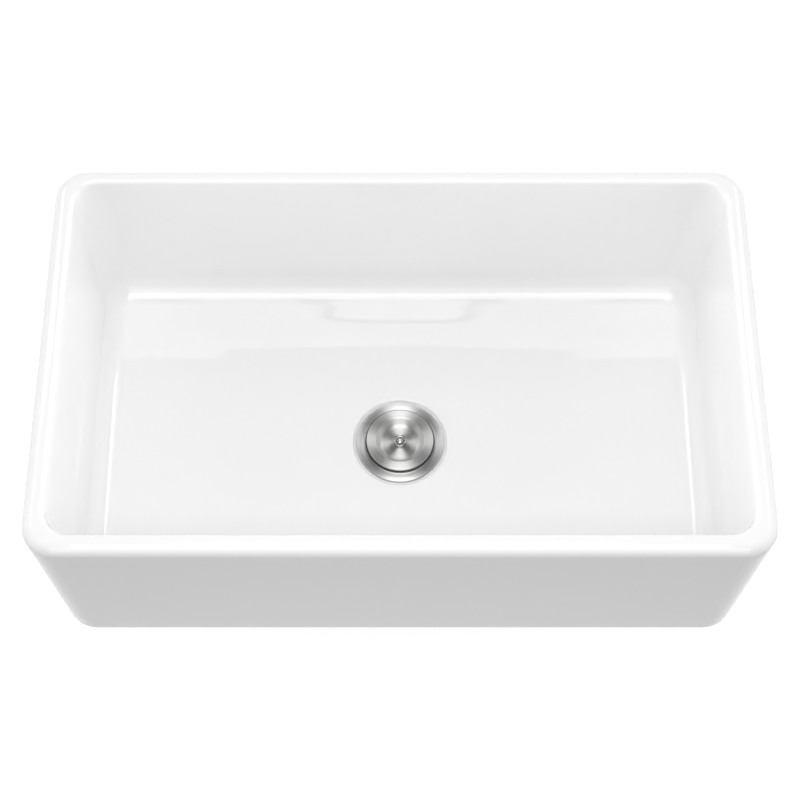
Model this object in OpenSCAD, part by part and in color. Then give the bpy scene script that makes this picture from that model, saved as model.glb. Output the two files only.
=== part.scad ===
// Apron-front fireclay kitchen sink with a basket strainer and a sealing lid.
// Millimetres, +Z up, apron towards -Y. The origin is the middle of the drain's lower end.

/* [Sink] */
// Width of the sink across the apron
sink_w = 838; // [760:1:920]
// Depth of the sink from the apron to the back
sink_d = 508; // [460:1:560]
// Height of the sink from its base to its rim
sink_h = 254; // [220:1:280]
// Plan radius of the outer corners
corner_r = 39; // [30:1:50]
// Thickness of the apron and the ends at the rim
wall_t = 24; // [21:1:30]
// Thickness of the back wall at the rim
back_wall_t = 20.5; // [20.5:0.5:30]
// Thickness of the base at the drain
base_t = 25; // [22:1:32]
// Radius of the rim's outer edge
rim_outer_r = 13; // [8:0.5:13]
// Radius of the rim's inner edge
rim_inner_r = 6.5; // [4:0.5:7]
// Distance that each end leans in from the rim to the base
end_taper = 14; // [2:1:20]
// Distance that the back leans in from the rim to the base
back_taper = 14; // [2:1:20]
// Distance that the apron leans in from the rim to the base
apron_taper = 5; // [0:1:12]
// Radius of the edge between the walls and the base
base_edge_r = 12; // [6:1:18]

/* [Bowl] */
// Lean of the bowl's end walls in degrees
end_lean = 3.6; // [1:0.1:5]
// Lean of the bowl's back wall in degrees
back_lean = 3.9; // [1:0.1:5]
// Lean of the bowl's front wall in degrees
front_lean = 3; // [1:0.1:5]
// Plan radius of the bowl's corners at the rim
bowl_corner_r = 30; // [26:1:45]
// Plan radius of the bowl's corners at the foot of its walls
bowl_foot_r = 36; // [30:1:50]
// Radius between the bowl's walls and its floor
floor_fillet_r = 30; // [12:1:32]
// Height that the floor falls from the walls to the drain
floor_fall = 5; // [2:0.5:8]
// Distance from the middle of the sink forward to the drain
drain_forward = 6; // [0:1:30]

/* [Drain seat] */
// Diameter of the drain hole
hole_d = 89; // [87:0.5:92]
// Diameter of the rebate that holds the flange
rebate_d = 117; // [114:0.5:124]
// Depth of the rebate
rebate_depth = 3.5; // [2:0.1:5]
// Radius of the rebate's upper edge
rebate_edge_r = 3.5; // [1:0.1:5]
// Diameter of the recess under the base
recess_d = 150; // [125:1:200]
// Depth of the recess under the base
recess_depth = 6; // [3:0.5:9]

/* [Strainer body] */
// Diameter of the flange
flange_d = 111; // [107:0.5:113]
// Thickness of the strainer's sheet
strainer_t = 1.2; // [0.8:0.1:1.5]
// Inner diameter of the mouth
mouth_d = 82.6; // [82:0.1:84]
// Height of the flange's rolled edge
flange_edge_h = 1.3; // [1:0.1:2]
// Height of the lid's land above the flange's underside
land_h = 2.2; // [1.8:0.1:3]
// Width of the lid's land
land_w = 2.4; // [1.5:0.1:4]
// Rise of the flange's crown above the land
crown_h = 0.8; // [0.2:0.1:1.2]
// Radius between the land and the mouth
curl_r = 1.4; // [1:0.1:1.6]
// Width of the ledge that carries the basket
ledge_w = 2.4; // [1.8:0.1:3]
// Drop from the land to the ledge
ledge_drop = 6.5; // [6:0.1:9]
// Height of the funnel under the cup
funnel_h = 12; // [8:0.5:20]
// Bore of the outlet
outlet_bore_d = 39; // [36:0.5:40]
// Diameter of the outlet's thread
outlet_d = 47.8; // [46.8:0.1:49]
// Length of the outlet
outlet_len = 16; // [12:0.5:25]

/* [Washers and nuts] */
// Thickness of the gasket under the flange
gasket_t = 1.5; // [1:0.1:2.5]
// Diameter of the washers under the base
washer_d = 106; // [98:1:118]
// Thickness of the rubber washer
rubber_washer_t = 3; // [2:0.1:4]
// Thickness of the friction washer
friction_washer_t = 1.5; // [1:0.1:2]
// Diameter of the lock nut without its lugs
lock_nut_d = 94; // [90:1:98]
// Height of the lock nut
lock_nut_h = 11; // [8:0.5:15]
// Number of lugs on the lock nut
lug_count = 6; // [4:1:8]
// Length of a lug outside the nut
lug_len = 5.5; // [3:0.5:8]
// Width of a lug
lug_w = 9; // [6:0.5:12]
// Distance across the flats of the coupling nut
coupling_af = 54; // [52:0.5:60]
// Length of thread that the coupling nut covers
coupling_grip = 11; // [8:0.5:12]
// Thickness of the coupling nut's lip
coupling_lip_t = 2.6; // [2:0.1:4]
// Gap between the coupling nut's lip and the tailpiece
coupling_gap = 0.95; // [0.9:0.05:1.2]

/* [Tailpiece] */
// Outer diameter of the tailpiece
tail_d = 38.1; // [36:0.1:38.5]
// Wall of the tailpiece
tail_t = 1; // [0.7:0.1:1.5]
// Length of the tailpiece
tail_len = 102; // [60:1:200]
// Diameter of the tailpiece's flange
tail_flange_d = 44.4; // [43.5:0.1:46]
// Thickness of the tailpiece's flange
tail_flange_t = 1.5; // [1:0.1:2]
// Thickness of the tailpiece washer
tail_washer_t = 2; // [1:0.1:3]

/* [Basket] */
// Thickness of the basket's sheet
basket_t = 0.8; // [0.6:0.1:1]
// Depth of the basket below its rim
basket_depth = 42; // [38:0.5:60]
// Diameter of the basket at its foot
basket_foot_d = 68; // [60:0.5:71]
// Radius round the basket's foot
basket_foot_r = 4; // [2:0.5:6]
// Height of the basket's turned-up rim
basket_rim_h = 1.8; // [1:0.1:2]
// Diameter of the perforations
perforation_d = 3.2; // [2:0.1:3.6]
// Number of perforations round the basket's wall
wall_perforations = 28; // [16:2:30]
// Number of rows of perforations in the wall
wall_rows = 5; // [3:1:6]
// Number of rings of perforations in the floor
floor_rings = 4; // [2:1:4]
// Width of the basket's handle
handle_w = 10; // [6:0.5:14]
// Thickness of the basket's handle
handle_t = 1.2; // [0.8:0.1:1.6]
// Length of the handle's welded ends
handle_tab = 9; // [6:0.5:12]

/* [Lid] */
// Diameter of the lid plate
lid_d = 84.7; // [84:0.1:85.5]
// Thickness of the lid's plates
lid_t = 0.8; // [0.6:0.1:1]
// Height of the lid plate's turned-down edge
lid_edge_h = 2.2; // [1.8:0.1:3]
// Height of the seal from the flange to the lid plate
seal_h = 5; // [4:0.1:6]
// Width of seal that stands out past the lid plate
seal_proud = 1.5; // [1.3:0.1:1.7]
// Depth of the seal's skirt inside the mouth
skirt_h = 3; // [1.5:0.1:3.5]
// Diameter of the lid's dish at its shoulder
dish_d = 63.6; // [60:0.1:66]
// Diameter of the dish's floor
dish_floor_d = 43.8; // [40:0.1:46]
// Depth of the dish
dish_depth = 9.5; // [8:0.1:11]
// Radius of the dish's shoulder
shoulder_r = 2.2; // [1:0.1:3]
// Width of the step round the dish's floor
step_w = 3.1; // [2:0.1:4]
// Height of the step round the dish's floor
step_h = 1; // [0.5:0.1:1.5]

/* [Knob] */
// Diameter of the knob's head
knob_d = 16.8; // [14:0.1:20]
// Height of the knob
knob_h = 8.6; // [7:0.1:12]
// Diameter of the knob's stem
stem_d = 11.2; // [9:0.1:13]
// Depth of the hollow in the knob's head
hollow_h = 2.4; // [1.5:0.1:3]
// Diameter of the screw
screw_d = 4; // [3:0.5:5]
// Diameter of the screw's head
screw_head_d = 7.7; // [7:0.1:8.5]
// Height of the screw's head
screw_head_h = 2; // [1:0.1:2.4]
// Thickness of the washer under the lid
lid_washer_t = 0.8; // [0.5:0.1:1.2]
// Distance across the flats of the lid's nut
lid_nut_af = 7; // [7:0.1:8]
// Height of the lid's nut without its dome
lid_nut_h = 3; // [2:0.1:4]

/* [Clearances] */
// Clearance round a thread
thread_gap = 0.05; // [0.02:0.01:0.1]
// Clearance between a washer and the thread inside it
washer_gap = 0.3; // [0.1:0.05:0.6]
// Clearance between the basket and the strainer's cup
basket_gap = 0.4; // [0.3:0.05:0.8]
// Clearance between the seal's skirt and the mouth
skirt_gap = 0.5; // [0.3:0.05:0.8]
// Clearance between the lid's nut and the basket's handle
handle_gap = 2.5; // [1:0.1:4]
// Clearance round the lid's screw
screw_gap = 0.15; // [0.05:0.05:0.3]

/* [Hidden] */
$fn = 96;

corner_steps = 10; // steps round a plan corner
edge_steps = 6; // steps round an edge or a fillet
floor_steps = 3; // rings between the bowl's floor edge and the drain
overcut = 1; // how far a cut runs past a face
drain_flat_w = 6; // width of the flat round the rebate
curl_from = 105; // angle at which the curl leaves the land
dome_inset = 0.4; // step from the flats of the lid's nut in to its dome

// Heights above the base of the sink
floor_edge_z = base_t + floor_fall;
seat_z = base_t - rebate_depth;
flange_z = seat_z + gasket_t;
land_z = flange_z + land_h;
crown_z = land_z + crown_h;
ledge_z = land_z - ledge_drop;
basket_floor_z = ledge_z - basket_depth;
funnel_z = basket_floor_z - funnel_h;
outlet_z = funnel_z - outlet_len;
tail_top_z = outlet_z - tail_washer_t;
tail_bottom_z = tail_top_z - tail_len;
rubber_washer_z = recess_depth - rubber_washer_t;
friction_washer_z = rubber_washer_z - friction_washer_t;
lock_nut_z = friction_washer_z - lock_nut_h;
lid_top_z = land_z + seal_h + lid_t;
dish_floor_z = lid_top_z - dish_depth;
backing_z = dish_floor_z - 2 * lid_t;
lid_washer_z = backing_z - lid_washer_t;
lid_nut_z = lid_washer_z - lid_nut_h;
lid_dome_r = lid_nut_af / 2 - dome_inset;
handle_top_z = lid_nut_z - lid_dome_r - handle_gap;
base_z = -tail_bottom_z;

// Radii about the drain's axis
rebate_r = rebate_d / 2;
rebate_round = min(rebate_edge_r, rebate_depth);
drain_flat_r = rebate_r + rebate_round + drain_flat_w;
flange_r = flange_d / 2;
mouth_r = mouth_d / 2;
land_in_r = mouth_r + curl_r;
land_out_r = land_in_r + land_w;
crown_r = (land_out_r + flange_r) / 2;
cup_in_r = mouth_r - ledge_w;
cup_r = cup_in_r + strainer_t;
outlet_bore_r = outlet_bore_d / 2;
outlet_r = outlet_d / 2;
tail_r = tail_d / 2;
basket_rim_r = mouth_r - basket_gap;
basket_top_r = cup_in_r - basket_gap;
basket_foot_in_r = basket_foot_d / 2 - basket_t;
lid_r = lid_d / 2;
seal_r = lid_r + seal_proud;
skirt_r = mouth_r - skirt_gap;
dish_r = dish_d / 2;
dish_floor_r = dish_floor_d / 2;
stem_r = stem_d / 2;
knob_r = knob_d / 2;
screw_hole_r = screw_d / 2 + screw_gap;

// A rounded rectangle in plan, at height z, with its corners listed anticlockwise
function plan_ring(half_w, front, back, r, z) = [
  for (q = [0:3])
    for (i = [0:corner_steps])
      let(
        a = -90 + 90 * q + 90 * i / corner_steps,
        cx = (q < 2 ? 1 : -1) * (half_w - r),
        cy = (q == 0 || q == 3) ? front + r : back - r
      )
      [cx + r * cos(a), cy + r * sin(a), z]
];

// The sink's outside at height z, drawn in by inset
function outer_ring(z, inset) =
  let(k = max(0, 1 - z / (sink_h - rim_outer_r)))
  plan_ring(
    sink_w / 2 - end_taper * k - inset,
    -sink_d / 2 + apron_taper * k + inset,
    sink_d / 2 - back_taper * k - inset,
    corner_r - inset,
    z
  );

// Distance from the middle to a leaning bowl wall, without its rounded edges
function wall_at(edge, lean, z) = edge - (sink_h - z) * tan(lean);

// The same wall with the rim's inner edge and the floor fillet rounded
function bowl_at(edge, lean, z) =
  let(lip_z = sink_h - rim_inner_r, fillet_z = floor_edge_z + floor_fillet_r)
  z >= lip_z + rim_inner_r * sin(lean)
    ? wall_at(edge, lean, lip_z) + rim_inner_r / cos(lean) - chord(rim_inner_r, z - lip_z)
    : z <= fillet_z - floor_fillet_r * sin(lean)
      ? wall_at(edge, lean, fillet_z) - floor_fillet_r / cos(lean)
        + chord(floor_fillet_r, fillet_z - z)
      : wall_at(edge, lean, z);

function chord(r, h) = sqrt(max(0, r * r - h * h));

// The bowl's inside at height z
function bowl_ring(z) =
  let(
    half_w = bowl_at(sink_w / 2 - wall_t, end_lean, z),
    k = (sink_h - z) / (sink_h - floor_edge_z),
    wall_r = bowl_corner_r + (bowl_foot_r - bowl_corner_r) * k,
    shift = half_w - wall_at(sink_w / 2 - wall_t, end_lean, z)
  )
  plan_ring(
    half_w,
    -bowl_at(sink_d / 2 - wall_t, front_lean, z),
    bowl_at(sink_d / 2 - back_wall_t, back_lean, z),
    max(wall_r + shift, 2),
    z
  );

// A circle round the drain with one point for each point of a plan ring
drain_ring = [
  for (q = [0:3])
    for (i = [0:corner_steps])
      let(a = -90 + 90 * q + 90 * (i + 0.5) / (corner_steps + 1))
      [drain_flat_r * cos(a), drain_flat_r * sin(a) - drain_forward, base_t]
];

base_edge_rings = [
  for (i = [0:edge_steps])
    let(a = 90 * i / edge_steps)
    outer_ring(base_edge_r * (1 - cos(a)), base_edge_r * (1 - sin(a)))
];
rim_edge_rings = [
  for (i = [0:edge_steps])
    let(a = 90 * i / edge_steps)
    outer_ring(sink_h - rim_outer_r * (1 - sin(a)), rim_outer_r * (1 - cos(a)))
];
lip_rings = [
  for (i = [0:edge_steps])
    let(a = 90 - 90 * i / edge_steps)
    bowl_ring(sink_h - rim_inner_r * (1 - sin(a)))
];
fillet_rings = [
  for (i = [0:edge_steps])
    let(a = 90 * i / edge_steps)
    bowl_ring(floor_edge_z + floor_fillet_r * (1 - sin(a)))
];
floor_ring = bowl_ring(floor_edge_z);
floor_slope_rings = [
  for (s = [1:floor_steps])
    [for (i = [0:len(floor_ring) - 1]) floor_ring[i] + (drain_ring[i] - floor_ring[i]) * s / floor_steps]
];
sink_rings = concat(base_edge_rings, rim_edge_rings, lip_rings, fillet_rings, floor_slope_rings);

// A closed solid through a stack of rings, capped at both ends
module ring_loft(rings) {
  n = len(rings[0]);
  last = (len(rings) - 1) * n;
  points = [for (ring = rings) for (p = ring) p];
  sides = [
    for (s = [0:len(rings) - 2])
      for (i = [0:n - 1])
        let(a = s * n + i, b = s * n + (i + 1) % n)
        each [[a, a + n, b + n], [a, b + n, b]]
  ];
  first_cap = [for (i = [0:n - 1]) i];
  last_cap = [for (i = [n - 1:-1:0]) last + i];
  polyhedron(points, concat([first_cap, last_cap], sides));
}

// Offsetting a path of [radius, height] points to its left by t gives a sheet's other face
function unit(v) = v / norm(v);
function left_of(v) = [-v[1], v[0]];
function miter(p, i) =
  let(
    last = len(p) - 1,
    before = unit(p[max(i, 1)] - p[max(i, 1) - 1]),
    after = unit(p[min(i, last - 1) + 1] - p[min(i, last - 1)]),
    n = left_of(unit(before + after))
  )
  n / (n * left_of(before));
function other_face(p, t) = [for (i = [0:len(p) - 1]) p[i] + t * miter(p, i)];
function reversed(p) = [for (i = [len(p) - 1:-1:0]) p[i]];
function arc(cx, cz, r, from, to) = [
  for (i = [0:edge_steps])
    let(a = from + (to - from) * i / edge_steps)
    [cx + r * cos(a), cz + r * sin(a)]
];

module turned(points) {
  translate([0, 0, base_z]) rotate_extrude() polygon(points);
}

module sheet(path, t) {
  turned(concat(path, reversed(other_face(path, t))));
}

module ring_plate(inner_r, outer_r, z, t) {
  turned([[inner_r, z], [outer_r, z], [outer_r, z + t], [inner_r, z + t]]);
}

// The one-piece fireclay body
module sink_bowl() {
  color("white") difference() {
    translate([0, drain_forward, base_z]) ring_loft(sink_rings);
    translate([0, 0, base_z - overcut]) cylinder(d = hole_d, h = base_t + 2 * overcut);
    translate([0, 0, base_z - overcut]) cylinder(d = recess_d, h = recess_depth + overcut);
    turned(concat(
      [[0, base_t + overcut], [0, seat_z], [rebate_r, seat_z]],
      arc(rebate_r + rebate_round, base_t - rebate_round, rebate_round, 180, 90),
      [[rebate_r + rebate_round, base_t + overcut]]
    ));
  }
}

// The flange's upper face, from its outer edge to its mouth
flange_path = concat(
  [[flange_r, flange_z], [flange_r, flange_z + flange_edge_h]],
  [
    for (i = [1:edge_steps])
      let(a = 90 * i / edge_steps)
      [
        flange_r + (crown_r - flange_r) * (1 - cos(a)),
        flange_z + flange_edge_h + (crown_z - flange_z - flange_edge_h) * sin(a)
      ]
  ],
  [
    for (i = [1:edge_steps])
      let(k = i / edge_steps)
      [crown_r + (land_out_r - crown_r) * k, crown_z - crown_h * (1 - cos(180 * k)) / 2]
  ],
  [[land_in_r, land_z]]
);

// The strainer's inner face below the land, down to its outlet
cup_path = concat(
  arc(mouth_r + curl_r, land_z - curl_r, curl_r, curl_from, 180),
  [
    [mouth_r, ledge_z],
    [cup_in_r, ledge_z],
    [cup_in_r, basket_floor_z],
    [outlet_bore_r, funnel_z]
  ]
);

// Steel flange and cup, with the outlet turned on its funnel
module strainer_body() {
  slope = funnel_h / (cup_in_r - outlet_bore_r);
  weld_z = funnel_z - strainer_t / 2;
  color("silver") union() {
    sheet(concat(flange_path, cup_path), strainer_t);
    turned([
      [outlet_bore_r, outlet_z],
      [outlet_r, outlet_z],
      [outlet_r, weld_z + slope * (outlet_r - outlet_bore_r)],
      [outlet_bore_r, weld_z]
    ]);
  }
}

// Rubber ring that fills the space under the flange
module flange_gasket() {
  under = other_face(flange_path, strainer_t);
  inner_r = hole_d / 2;
  color("dimgray") turned(concat(
    [[inner_r, seat_z], [flange_r, seat_z], [flange_r, flange_z]],
    [for (p = under) if (p[0] > inner_r) p],
    [[inner_r, land_z - strainer_t]]
  ));
}

module rubber_washer() {
  color("black") ring_plate(cup_r + washer_gap, washer_d / 2, rubber_washer_z, rubber_washer_t);
}

module friction_washer() {
  color("tan") ring_plate(cup_r + washer_gap, washer_d / 2, friction_washer_z, friction_washer_t);
}

// Clamping nut with lugs for a strainer wrench
module lock_nut() {
  nut_r = lock_nut_d / 2;
  bite = 2;
  collar_t = 3;
  color("gold") difference() {
    union() {
      translate([0, 0, base_z + lock_nut_z]) cylinder(r = nut_r, h = lock_nut_h);
      ring_plate(nut_r - bite, nut_r + lug_len / 2, friction_washer_z - collar_t, collar_t);
      for (i = [0:lug_count - 1])
        rotate([0, 0, 360 * i / lug_count])
          translate([nut_r - bite, -lug_w / 2, base_z + lock_nut_z])
            cube([lug_len + bite, lug_w, lock_nut_h]);
    }
    translate([0, 0, base_z + lock_nut_z - overcut])
      cylinder(r = cup_r + thread_gap, h = lock_nut_h + 2 * overcut);
  }
}

module tailpiece_washer() {
  color("white") ring_plate(outlet_bore_r, tail_flange_d / 2, tail_top_z, tail_washer_t);
}

// Flanged outlet tube
module tailpiece() {
  bore_r = tail_r - tail_t;
  flange_under_z = tail_top_z - tail_flange_t;
  color("silver") turned([
    [bore_r, tail_bottom_z],
    [tail_r, tail_bottom_z],
    [tail_r, flange_under_z],
    [tail_flange_d / 2, flange_under_z],
    [tail_flange_d / 2, tail_top_z],
    [bore_r, tail_top_z]
  ]);
}

// Hexagonal nut that draws the tailpiece up to the outlet
module coupling_nut() {
  lip_z = tail_top_z - tail_flange_t;
  bottom_z = lip_z - coupling_lip_t;
  top_z = outlet_z + coupling_grip;
  corner = coupling_af / 2 / cos(30);
  chamfer = corner - coupling_af / 2;
  color("silver") difference() {
    intersection() {
      translate([0, 0, base_z + bottom_z]) cylinder(r = corner, h = top_z - bottom_z, $fn = 6);
      turned([
        [0, bottom_z],
        [corner - chamfer, bottom_z],
        [corner, bottom_z + chamfer / 2],
        [corner, top_z - chamfer / 2],
        [corner - chamfer, top_z],
        [0, top_z]
      ]);
    }
    translate([0, 0, base_z + bottom_z - overcut])
      cylinder(r = tail_r + coupling_gap, h = coupling_lip_t + 2 * overcut);
    translate([0, 0, base_z + lip_z])
      cylinder(r = outlet_r + thread_gap, h = top_z - lip_z + overcut);
  }
}

// The basket's inner face, from its turned-up rim to the middle of its floor
basket_foot_z = basket_floor_z + basket_t + basket_foot_r;
basket_neck_r = basket_top_r - basket_t;
basket_neck_z = ledge_z + basket_t;
function basket_in_r(z) =
  basket_foot_in_r
  + (basket_neck_r - basket_foot_in_r) * (z - basket_foot_z) / (basket_neck_z - basket_foot_z);
basket_path = concat(
  [
    [basket_rim_r - basket_t, ledge_z + basket_rim_h],
    [basket_rim_r - basket_t, basket_neck_z],
    [basket_neck_r, basket_neck_z]
  ],
  arc(basket_foot_in_r - basket_foot_r, basket_foot_z, basket_foot_r, 0, -90),
  [[0, basket_floor_z + basket_t]]
);

// A cutter for one hole through the wall, short of the middle so that no two meet
module perforation() {
  translate([basket_foot_in_r - 2 * basket_foot_r, 0, 0])
    rotate([0, 90, 0])
      cylinder(d = perforation_d, h = mouth_r - basket_foot_in_r + 2 * basket_foot_r, $fn = 24);
}

// Perforated basket that hangs on the ledge
module basket() {
  low_z = basket_foot_z + perforation_d;
  high_z = ledge_z - 2 * perforation_d;
  row_step = (high_z - low_z) / (wall_rows - 1);
  ring_step = (basket_foot_in_r - basket_foot_r) / (floor_rings + 0.5);
  color("gainsboro") difference() {
    turned(concat(
      [
        [0, basket_floor_z],
        [basket_foot_in_r - basket_foot_r, basket_floor_z]
      ],
      arc(basket_foot_in_r - basket_foot_r, basket_foot_z, basket_foot_r + basket_t, -90, 0),
      [
        [basket_top_r, ledge_z],
        [basket_rim_r, ledge_z],
        [basket_rim_r, ledge_z + basket_rim_h]
      ],
      basket_path
    ));
    for (row = [0:wall_rows - 1])
      for (i = [0:wall_perforations - 1])
        translate([0, 0, base_z + low_z + row * row_step])
          rotate([0, 0, (i + (row % 2) / 2) * 360 / wall_perforations])
            perforation();
    translate([0, 0, base_z + basket_floor_z]) {
      cylinder(d = perforation_d, h = 3 * basket_t, center = true, $fn = 24);
      for (ring = [1:floor_rings])
        for (i = [0:6 * ring - 1])
          rotate([0, 0, 60 * i / ring])
            translate([ring * ring_step, 0, 0])
              cylinder(d = perforation_d, h = 3 * basket_t, center = true, $fn = 24);
    }
  }
}

// Bar across the basket, with its ends bent down and welded to the wall
module basket_handle() {
  tab_z = handle_top_z - handle_tab;
  under_z = handle_top_z - handle_t;
  color("silver") intersection() {
    turned([
      [0, under_z],
      [basket_in_r(under_z) - handle_t, under_z],
      [basket_in_r(tab_z) - handle_t, tab_z],
      [basket_in_r(tab_z), tab_z],
      [basket_in_r(under_z), under_z],
      [basket_in_r(under_z) - handle_t, handle_top_z],
      [0, handle_top_z]
    ]);
    translate([-mouth_r, -handle_w / 2, base_z + tab_z - overcut])
      cube([2 * mouth_r, handle_w, handle_tab + 2 * overcut]);
  }
}

// The lid plate's upper face, from its turned-down edge to the screw
wall_fall = atan2(dish_depth - step_h - shoulder_r, dish_r - dish_floor_r - step_w);
lid_round = 1;
dish_path = concat(
  arc(dish_r, lid_top_z - shoulder_r, shoulder_r, 90, 90 + wall_fall),
  [
    [dish_floor_r + step_w, dish_floor_z + step_h],
    [dish_floor_r, dish_floor_z],
    [screw_hole_r, dish_floor_z]
  ]
);

module lid_plate() {
  color("silver") sheet(
    concat(
      [[lid_r, lid_top_z - lid_edge_h]],
      arc(lid_r - lid_round, lid_top_z - lid_round, lid_round, 0, 90),
      dish_path
    ),
    lid_t
  );
}

// The backing plate nests under the dish and turns out under the seal's web
web_z = land_z + seal_h / 2;
skirt_t = 2.5;
web_r = skirt_r - skirt_t;

module lid_backing_plate() {
  under_dish = other_face(dish_path, lid_t);
  foot = len(under_dish) - 3;
  wall = unit(under_dish[foot] - under_dish[foot - 1]);
  rise = (web_z - under_dish[foot][1]) / wall[1];
  color("silver") sheet(
    [
      [web_r, web_z],
      under_dish[foot] + wall * rise,
      under_dish[foot],
      under_dish[foot + 1],
      under_dish[foot + 2]
    ],
    lid_t
  );
}

// Rubber seal: a bead on the land, a skirt in the mouth and a web between the plates
module lid_seal() {
  web_in_r = dish_r + shoulder_r;
  edge_in_r = lid_r - lid_t;
  edge_z = lid_top_z - lid_edge_h;
  lead = 0.8;
  relief_h = 0.3;
  color("black") turned([
    [web_in_r, web_z],
    [web_r, web_z],
    [web_r, land_z - skirt_h],
    [skirt_r - lead, land_z - skirt_h],
    [skirt_r, land_z - skirt_h + lead],
    [skirt_r, land_z + relief_h],
    [land_in_r, land_z + relief_h],
    [land_in_r, land_z],
    [seal_r - relief_h, land_z],
    [seal_r, land_z + relief_h],
    [seal_r, edge_z - lead],
    [seal_r - lead, edge_z],
    [edge_in_r, edge_z],
    [edge_in_r, lid_top_z - lid_round],
    [lid_r - lid_round, lid_top_z - lid_t],
    [web_in_r, lid_top_z - lid_t]
  ]);
}

// Turned knob with a waisted stem and a hollow head
module lid_knob() {
  rim_w = 1;
  edge_h = 0.8;
  foot_h = 1.2;
  waist = 0.6;
  flare_h = 1.5;
  hollow_t = 1.2;
  hollow_gap = 1.2;
  top_z = dish_floor_z + knob_h;
  head_z = top_z - hollow_h - hollow_t;
  color("silver") turned(concat(
    [
      [screw_hole_r, dish_floor_z],
      [stem_r, dish_floor_z],
      [stem_r - waist, dish_floor_z + foot_h],
      [stem_r - waist, head_z - flare_h],
      [knob_r - edge_h, head_z],
      [knob_r, head_z + edge_h]
    ],
    arc(knob_r - rim_w / 2, top_z - rim_w / 2, rim_w / 2, 0, 180),
    [
      [screw_head_d / 2 + hollow_gap, top_z - hollow_h],
      [screw_hole_r, top_z - hollow_h]
    ]
  ));
}

// Round-headed screw down through the knob and both plates
module lid_screw() {
  tip_gap = 0.5;
  seat = dish_floor_z + knob_h - hollow_h;
  head_r = screw_head_d / 2;
  crown_r = (head_r * head_r + screw_head_h * screw_head_h) / (2 * screw_head_h);
  crown_angle = asin(head_r / crown_r);
  color("silver") turned(concat(
    [
      [0, lid_nut_z + tip_gap],
      [screw_d / 2, lid_nut_z + tip_gap],
      [screw_d / 2, seat]
    ],
    arc(0, seat + screw_head_h - crown_r, crown_r, 90 - crown_angle, 90)
  ));
}

module lid_washer() {
  margin = 1.5;
  color("silver") ring_plate(screw_hole_r, lid_nut_af / 2 + margin, lid_washer_z, lid_washer_t);
}

// Dome nut under the lid
module lid_nut() {
  color("silver") difference() {
    translate([0, 0, base_z + lid_nut_z]) union() {
      cylinder(d = lid_nut_af / cos(30), h = lid_nut_h, $fn = 6);
      sphere(r = lid_dome_r);
    }
    translate([0, 0, base_z + lid_nut_z])
      cylinder(r = screw_d / 2 + thread_gap, h = lid_nut_h + overcut);
  }
}

sink_bowl();
flange_gasket();
strainer_body();
rubber_washer();
friction_washer();
lock_nut();
tailpiece_washer();
tailpiece();
coupling_nut();
basket();
basket_handle();
lid_plate();
lid_seal();
lid_backing_plate();
lid_knob();
lid_screw();
lid_washer();
lid_nut();
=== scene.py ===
import math

import bmesh
import bpy
import mathutils
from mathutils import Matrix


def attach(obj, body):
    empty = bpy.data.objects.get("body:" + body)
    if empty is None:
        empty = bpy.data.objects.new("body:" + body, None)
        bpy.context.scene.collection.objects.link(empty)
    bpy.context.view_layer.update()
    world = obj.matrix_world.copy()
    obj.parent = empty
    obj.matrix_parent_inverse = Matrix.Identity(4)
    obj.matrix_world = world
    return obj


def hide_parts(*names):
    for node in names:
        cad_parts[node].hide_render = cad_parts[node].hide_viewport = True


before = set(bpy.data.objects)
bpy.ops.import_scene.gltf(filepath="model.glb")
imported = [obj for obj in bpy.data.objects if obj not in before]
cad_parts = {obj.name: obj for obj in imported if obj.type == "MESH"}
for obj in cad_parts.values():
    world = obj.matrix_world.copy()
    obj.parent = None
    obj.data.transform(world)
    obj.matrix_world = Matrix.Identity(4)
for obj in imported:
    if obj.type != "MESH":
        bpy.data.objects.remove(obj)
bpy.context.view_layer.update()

# White fireclay apron-front sink with a basket strainer and a sealing lid. Lengths in the
# dictionaries are millimetres, and heights count from the underside of the fireclay.
mm = 0.001
baseHeight = 155.3  # from the tailpiece's lower end up to the underside of the sink


class Wire:
    # One output of a node tree; expressions on wires add Math nodes
    def __init__(self, board, socket):
        self.board, self.socket = board, socket

    def combine(self, operation, *others):
        ends = dict(enumerate((self,) + others))
        return self.board.add("ShaderNodeMath", {"operation": operation}, ends)["Value"]

    def flipped(self, operation, other):
        ends = {0: other, 1: self}
        return self.board.add("ShaderNodeMath", {"operation": operation}, ends)["Value"]

    def __add__(self, other): return self.combine("ADD", other)
    def __radd__(self, other): return self.flipped("ADD", other)
    def __sub__(self, other): return self.combine("SUBTRACT", other)
    def __rsub__(self, other): return self.flipped("SUBTRACT", other)
    def __mul__(self, other): return self.combine("MULTIPLY", other)
    def __rmul__(self, other): return self.flipped("MULTIPLY", other)
    def __truediv__(self, other): return self.combine("DIVIDE", other)
    def __rtruediv__(self, other): return self.flipped("DIVIDE", other)
    def __pow__(self, other): return self.combine("POWER", other)
    def __mod__(self, other): return self.combine("FLOORED_MODULO", other)
    def __gt__(self, other): return self.combine("GREATER_THAN", other)

    def ramp(self, low, high, start=0.0, end=1.0):
        # A smooth step from start at low to end at high
        return self.board.add(
            "ShaderNodeMapRange", {"interpolation_type": "SMOOTHSTEP"},
            {"Value": self, "From Min": low, "From Max": high, "To Min": start, "To Max": end},
        )["Result"]


class Made:
    # A node whose outputs are asked for by name or number
    def __init__(self, board, node):
        self.board, self.node = board, node

    def __getitem__(self, name):
        return Wire(self.board, self.node.outputs[name])


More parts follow.
